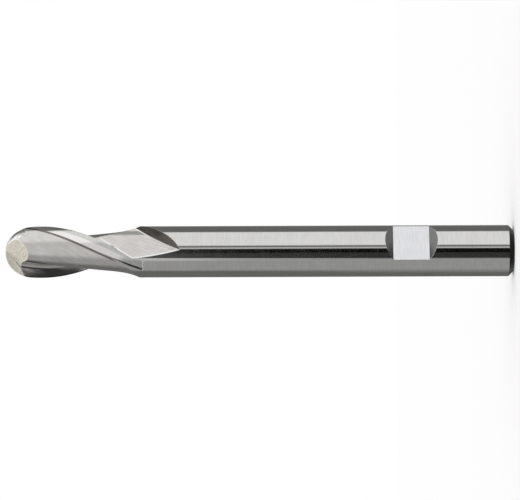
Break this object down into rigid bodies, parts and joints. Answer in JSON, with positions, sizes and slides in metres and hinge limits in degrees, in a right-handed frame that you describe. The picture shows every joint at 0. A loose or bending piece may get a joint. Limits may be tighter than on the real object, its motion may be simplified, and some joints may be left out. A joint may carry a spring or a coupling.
{
  "type": "ball nose end mill",
  "caption": "Two-flute ball nose end mill in bright ground steel, with a plain round shank and one clamping flat.",
  "frame": {"origin": "centre of the flat end face of the shank, on the tool's axis", "axes": "+Z along the tool's axis from the shank end to the tip of the nose; the clamping flat faces -Y"},
  "size_m": [0.01, 0.01, 0.099],
  "materials": {
    "ground_high_speed_steel": "fine ground, bright"
  },
  "bodies": {
    "root": {"end_mill": "ground_high_speed_steel"}
  },
  "joints": []
}
